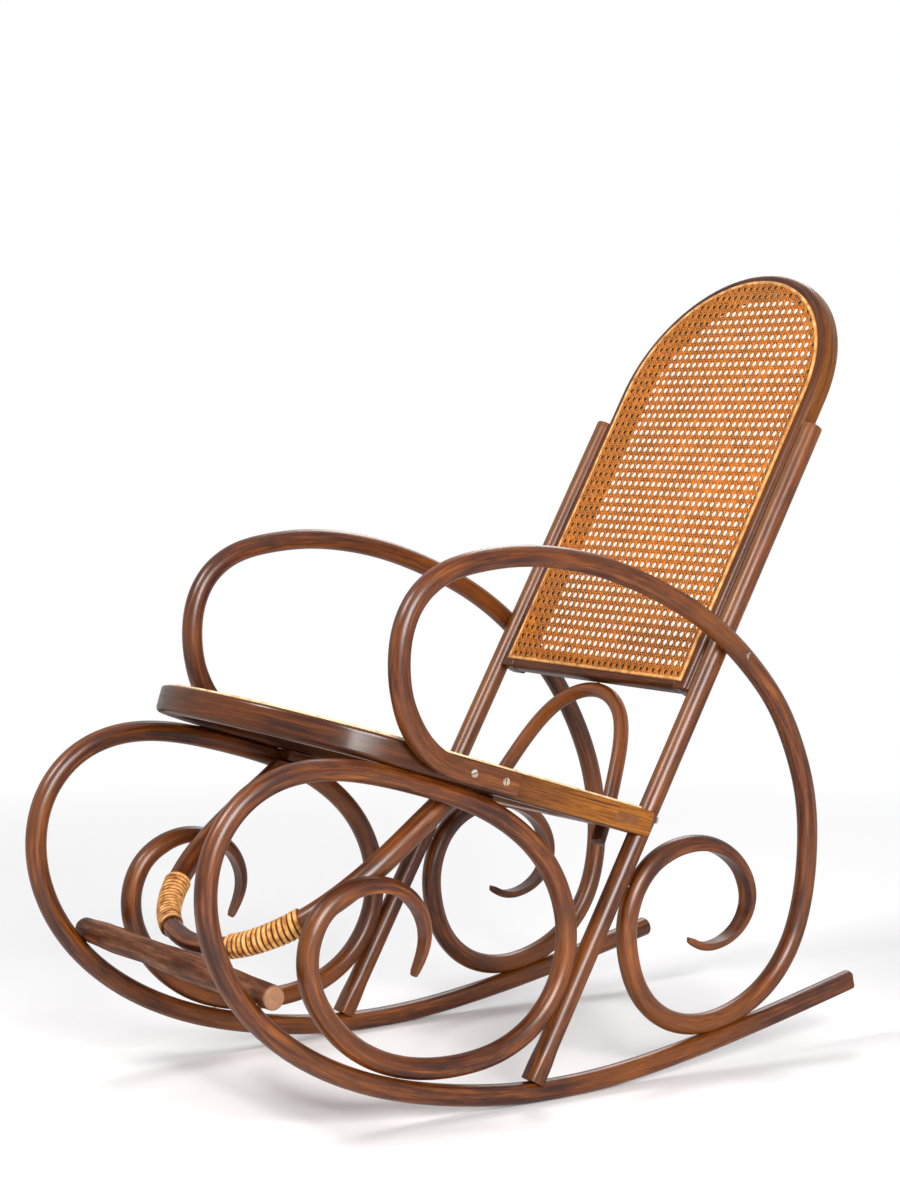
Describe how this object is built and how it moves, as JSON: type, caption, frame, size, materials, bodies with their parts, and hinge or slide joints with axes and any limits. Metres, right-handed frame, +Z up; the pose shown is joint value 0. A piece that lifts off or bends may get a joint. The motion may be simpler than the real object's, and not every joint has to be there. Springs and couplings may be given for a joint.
{
  "type": "bentwood rocking chair",
  "caption": "Bentwood rocking chair with scrolled side frames that rock on the floor, a caned seat, a tall arched caned back, open arms, a wound leg rest and a foot bar.",
  "frame": {"origin": "on the floor, under the middle of the whole chair's width and length", "axes": "+Z up, the chair faces -Y, +X to the sitter's left"},
  "size_m": [0.5194, 1.0676, 1.0476],
  "materials": {
    "bent_wood": "stained dark red-brown and glossily varnished",
    "worn_wood": "the same stain worn dull, with pale end grain",
    "cane": "woven cane, aged orange-tan, satin",
    "pale_cane": "pale cane strand, satin",
    "steel_screws": "slotted steel screws, slightly tarnished"
  },
  "bodies": {
    "root": {"runner_left": "bent_wood", "runner_right": "bent_wood", "arm_left": "bent_wood", "arm_right": "bent_wood", "back_post_left": "bent_wood", "back_post_right": "bent_wood", "seat_hoop": "bent_wood", "seat_rear_rail": "bent_wood", "seat_cane_border": "pale_cane", "seat_cane_panel": "cane", "back_frame": "bent_wood", "back_bottom_rail": "bent_wood", "back_cane_border": "pale_cane", "back_cane_panel": "cane", "leg_rest_hoop": "bent_wood", "leg_rest_winding_left": "pale_cane", "leg_rest_winding_right": "pale_cane", "leg_rest_block_left": "bent_wood", "leg_rest_block_right": "bent_wood", "foot_bar": "worn_wood", "lumbar_hoop": "bent_wood", "arm_front_screw_left_1": "steel_screws", "arm_front_screw_right_1": "steel_screws", "arm_front_screw_left_2": "steel_screws", "arm_front_screw_right_2": "steel_screws", "arm_post_screw_left": "steel_screws", "arm_post_screw_right": "steel_screws", "arm_runner_screw_left": "steel_screws", "arm_runner_screw_right": "steel_screws", "scroll_runner_screw_left": "steel_screws", "scroll_runner_screw_right": "steel_screws", "loop_post_screw_left": "steel_screws", "loop_post_screw_right": "steel_screws", "arm_scroll_post_screw_left": "steel_screws", "arm_scroll_post_screw_right": "steel_screws", "foot_bar_screw_left": "steel_screws", "foot_bar_screw_right": "steel_screws", "post_runner_screw_left": "steel_screws", "post_runner_screw_right": "steel_screws", "seat_runner_screw_left": "steel_screws", "seat_runner_screw_right": "steel_screws", "seat_post_screw_left": "steel_screws", "seat_post_screw_right": "steel_screws", "back_frame_screw_left_lower": "steel_screws", "back_frame_screw_right_lower": "steel_screws", "back_frame_screw_left_upper": "steel_screws", "back_frame_screw_right_upper": "steel_screws", "lumbar_screw_left": "steel_screws", "lumbar_screw_right": "steel_screws", "lumbar_screw_top": "steel_screws", "leg_rest_screw_left": "steel_screws", "leg_rest_screw_right": "steel_screws"}
  },
  "joints": []
}
